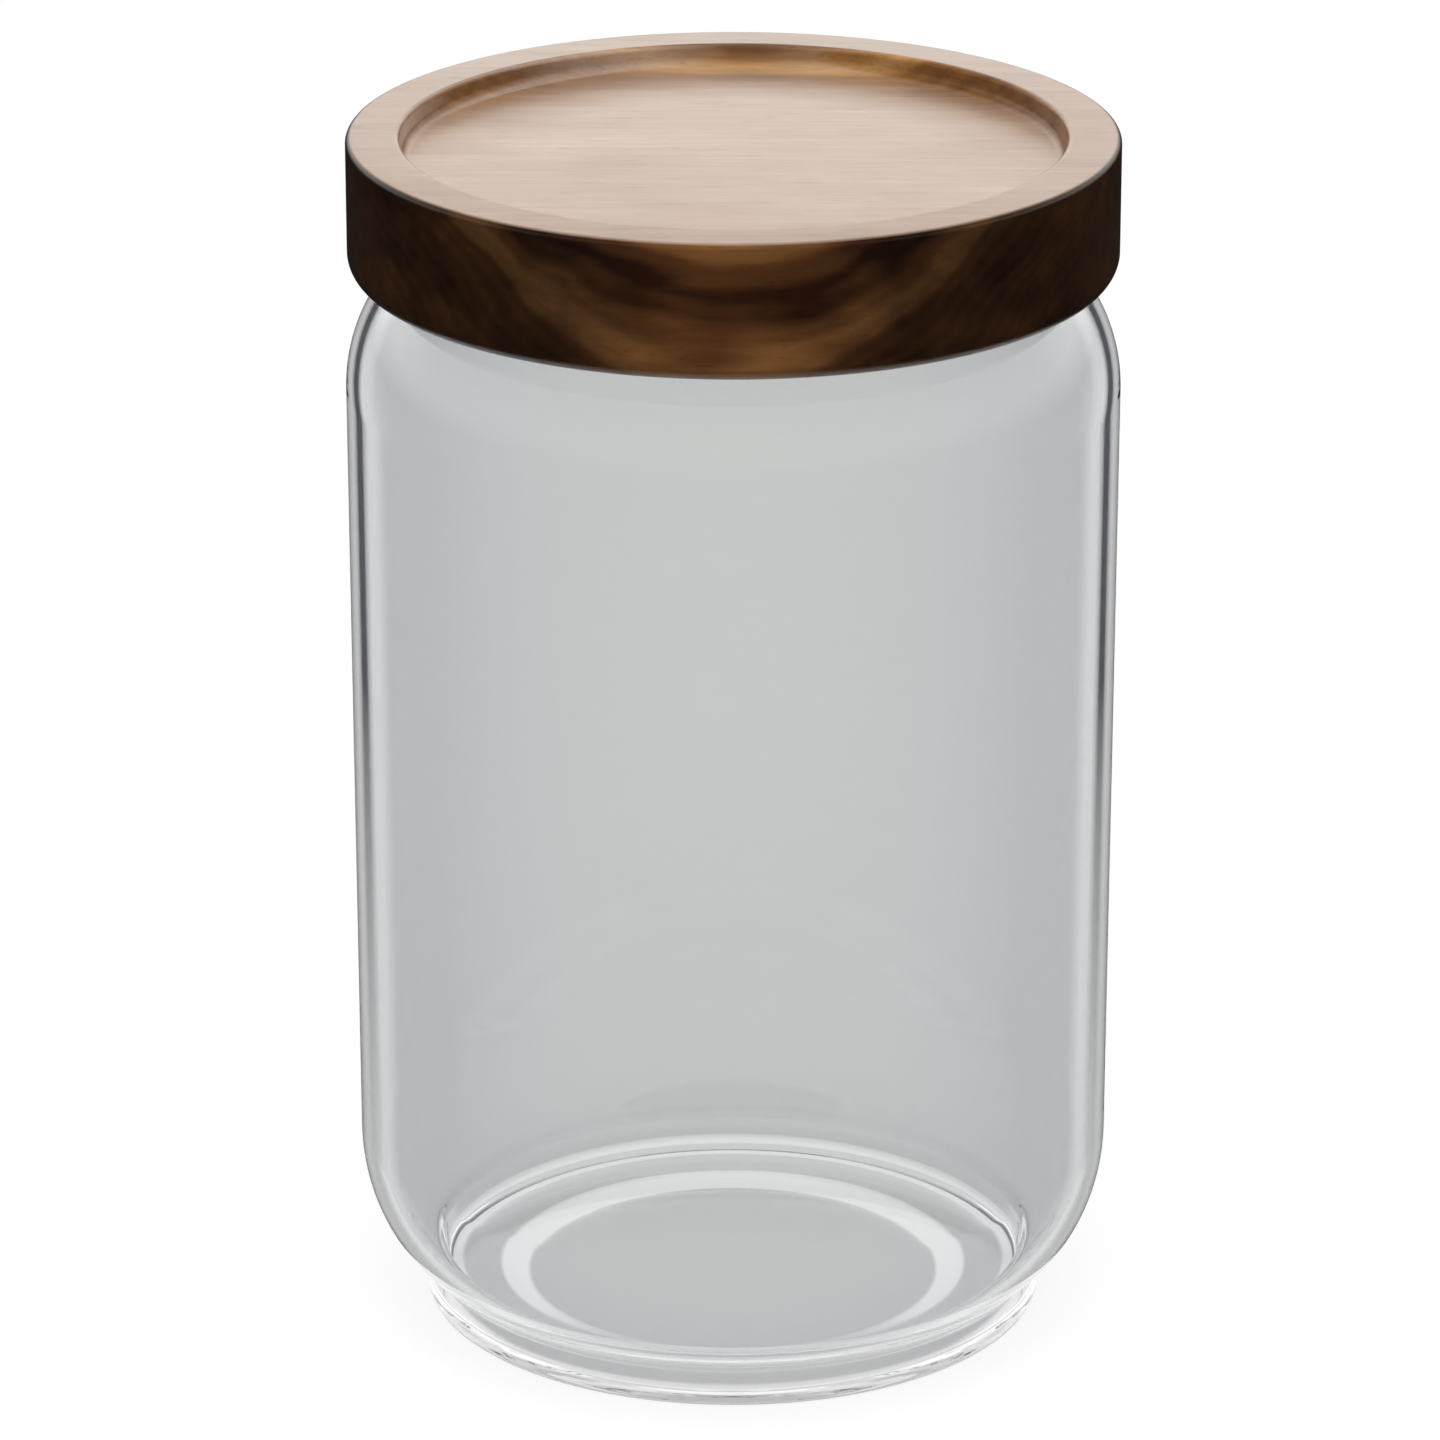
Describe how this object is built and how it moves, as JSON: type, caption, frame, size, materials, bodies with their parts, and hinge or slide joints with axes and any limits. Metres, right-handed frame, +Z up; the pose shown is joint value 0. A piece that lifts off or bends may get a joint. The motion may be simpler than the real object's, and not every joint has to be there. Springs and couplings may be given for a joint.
{
  "type": "food canister",
  "caption": "Stackable glass storage canister with a turned wooden cap, a plug under the cap and a lipped sealing ring; the foot of one canister sits in the dish of the cap below.",
  "frame": {"origin": "on the table, in the middle of the foot ring", "axes": "+Z up along the axis of the jar; the wood grain of the cap runs along X"},
  "size_m": [0.1, 0.1, 0.16],
  "materials": {
    "jar_glass": "clear, fire-polished",
    "lid_wood": "satin lacquer over turned acacia",
    "plug_wood": "satin lacquer over turned acacia",
    "seal_silicone": "translucent white silicone"
  },
  "bodies": {
    "jar": {"glass_jar": "jar_glass"},
    "seal": {"seal_ring": "seal_silicone"},
    "lid": {"wooden_lid": "lid_wood", "lid_plug": "plug_wood"}
  },
  "joints": [
    {"name": "lid_lift", "type": "slide", "parent": "jar", "child": "seal", "axis": [0, 0, 1], "range_m": [0, 0.06]},
    {"name": "lid_turn", "type": "hinge", "parent": "seal", "child": "lid", "pos_m": [0, 0, 0.1445], "axis": [0, 0, 1], "continuous": true}
  ]
}
